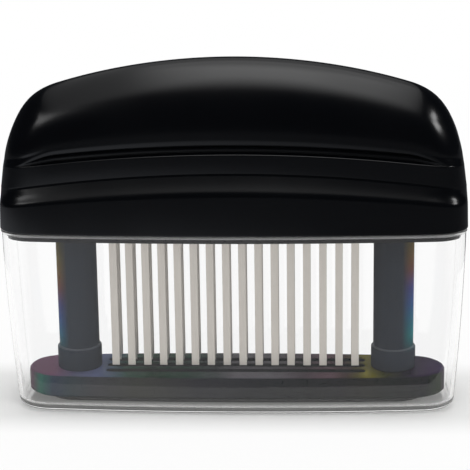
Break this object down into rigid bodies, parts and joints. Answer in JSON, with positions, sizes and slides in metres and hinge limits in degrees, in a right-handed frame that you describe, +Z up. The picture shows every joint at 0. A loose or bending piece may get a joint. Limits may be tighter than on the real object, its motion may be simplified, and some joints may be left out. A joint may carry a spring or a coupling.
{
  "type": "blade meat tenderizer",
  "caption": "Hand-press blade meat tenderizer: rows of flat blades under an arched grip, a slotted foot on sprung columns, standing in its clear storage cover.",
  "frame": {"origin": "centre of the cover's bottom, on the surface that the object stands on", "axes": "+X along the handle, -Y towards the user, +Z up"},
  "size_m": [0.1434, 0.0382, 0.11],
  "materials": {
    "clear_cover": "clear gloss",
    "handle_black": "satin gloss",
    "frame_grey": "gloss",
    "carrier_black": "matt",
    "steel_plate": "brushed",
    "blade_steel": "fine brushed",
    "screw_steel": "bright",
    "bush_white": "matt",
    "rod_steel": "ground",
    "spring_steel": "drawn wire",
    "foot_grey": "gloss",
    "pad_black": "matt"
  },
  "bodies": {
    "cover": {"storage_cover": "clear_cover"},
    "head": {"handle_shell": "handle_black", "base_frame": "frame_grey", "blade_carrier": "carrier_black", "blade_retainer": "steel_plate", "blades_front": "blade_steel", "blades_middle": "blade_steel", "blades_rear": "blade_steel", "carrier_screws": "screw_steel", "frame_screws": "screw_steel", "guide_bush_left": "bush_white", "guide_bush_right": "bush_white", "guide_rod_left": "rod_steel", "guide_rod_right": "rod_steel", "stop_washers": "screw_steel", "stop_screws": "screw_steel", "spring_left": "spring_steel", "spring_right": "spring_steel"},
    "foot": {"foot_plate": "foot_grey", "foot_pad": "pad_black", "column_left": "foot_grey", "column_right": "foot_grey", "column_nuts": "steel_plate"}
  },
  "joints": [
    {"name": "lift_out", "type": "slide", "parent": "cover", "child": "head", "axis": [0, 0, 1], "range_m": [0, 0.09]},
    {"name": "press", "type": "slide", "parent": "head", "child": "foot", "axis": [0, 0, 1], "range_m": [0, 0.034], "stiffness_N_per_m": 800, "springref_m": -0.012, "deforming": ["spring_left", "spring_right"]}
  ]
}
